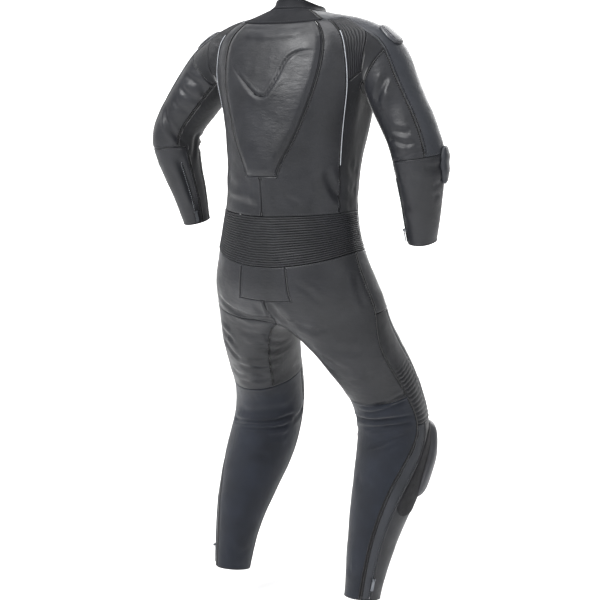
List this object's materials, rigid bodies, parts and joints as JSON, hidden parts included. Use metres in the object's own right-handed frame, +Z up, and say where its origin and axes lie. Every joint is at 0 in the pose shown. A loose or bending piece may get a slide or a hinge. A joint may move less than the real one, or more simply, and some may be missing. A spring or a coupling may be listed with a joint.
{
  "type": "motorcycle race suit",
  "caption": "One-piece leather race suit in its hollow worn form: panelled body, ribbed lumbar band, padded back, knee and elbow sliders, zips with pull tabs.",
  "frame": {"origin": "between the shoulders at the base of the neck, where the wearer's shoulders hold the suit up", "axes": "+Z up, towards the collar; the suit's front faces -Y and the wearer's left is +X"},
  "size_m": [0.7922, 0.3843, 1.3505],
  "materials": {
    "leather": "semi-gloss black",
    "grey_leather": "satin dark grey",
    "stretch": "matte black stretch weave",
    "ribbed": "ribbed black stretch leather",
    "textile": "matte navy-black stretch weave",
    "hook": "matte looped pile",
    "plastic": "moulded, satin",
    "metal": "dark nickel"
  },
  "bodies": {
    "suit": {"collar": "leather", "nape_yoke": "leather", "shoulder_panel_right": "grey_leather", "front_right": "leather", "front_left": "leather", "shoulder_panel_left": "grey_leather", "back_centre": "leather", "back_side_right": "leather", "shoulder_accordion_right": "ribbed", "shoulder_accordion_left": "ribbed", "back_side_left": "leather", "side_stretch_right": "stretch", "side_stretch_left": "stretch", "lumbar_accordion": "ribbed", "coccyx_patch": "leather", "seat_right": "leather", "seat_left": "leather", "forearm_right": "leather", "thigh_back_right": "leather", "calf_back_right": "textile", "sleeve_back_right": "leather", "sleeve_inner_right": "stretch", "thigh_side_right": "leather", "calf_strip_right": "grey_leather", "shin_right": "leather", "thigh_front_right": "leather", "knee_accordion_right": "ribbed", "sleeve_front_right": "leather", "inner_leg_right": "stretch", "forearm_left": "leather", "thigh_back_left": "leather", "calf_back_left": "textile", "sleeve_back_left": "leather", "sleeve_inner_left": "stretch", "thigh_side_left": "leather", "calf_strip_left": "grey_leather", "shin_left": "leather", "thigh_front_left": "leather", "knee_accordion_left": "ribbed", "sleeve_front_left": "leather", "inner_leg_left": "stretch", "shoulder_plate_right": "plastic", "shoulder_plate_left": "plastic", "elbow_slider_right": "grey_leather", "elbow_slider_left": "grey_leather", "hook_patch_right": "hook", "hook_patch_left": "hook", "knee_slider_right": "plastic", "knee_slider_left": "plastic", "front_zip_tape": "textile", "front_zip_slider": "metal", "cuff_zip_right_slider": "metal", "cuff_zip_left_slider": "metal", "calf_zip_right_slider": "metal", "calf_zip_left_slider": "metal"},
    "front_zip_pull_tab": {"front_zip_pull": "metal"},
    "cuff_zip_right_pull_tab": {"cuff_zip_right_pull": "metal"},
    "cuff_zip_left_pull_tab": {"cuff_zip_left_pull": "metal"},
    "calf_zip_right_pull_tab": {"calf_zip_right_pull": "metal"},
    "calf_zip_left_pull_tab": {"calf_zip_left_pull": "metal"}
  },
  "joints": [
    {"name": "front_zip_pull_hinge", "type": "hinge", "parent": "suit", "child": "front_zip_pull_tab", "pos_m": [0, -0.07673, -0.02101], "axis": [-1, 0, 0], "range_deg": [0, 150]},
    {"name": "cuff_zip_right_pull_hinge", "type": "hinge", "parent": "suit", "child": "cuff_zip_right_pull_tab", "pos_m": [-0.27042, 0.00181, -0.4399], "axis": [0.6727, -0.6984, 0.2444], "range_deg": [0, 150]},
    {"name": "cuff_zip_left_pull_hinge", "type": "hinge", "parent": "suit", "child": "cuff_zip_left_pull_tab", "pos_m": [0.30343, 0.00146, -0.42406], "axis": [0.664, 0.7124, -0.2272], "range_deg": [0, 150]},
    {"name": "calf_zip_right_pull_hinge", "type": "hinge", "parent": "suit", "child": "calf_zip_right_pull_tab", "pos_m": [-0.22544, 0.04247, -1.22594], "axis": [0.5553, 0.8105, 0.1865], "range_deg": [0, 150]},
    {"name": "calf_zip_left_pull_hinge", "type": "hinge", "parent": "suit", "child": "calf_zip_left_pull_tab", "pos_m": [0.22544, 0.04247, -1.22594], "axis": [0.5553, -0.8105, -0.1865], "range_deg": [0, 150]}
  ]
}
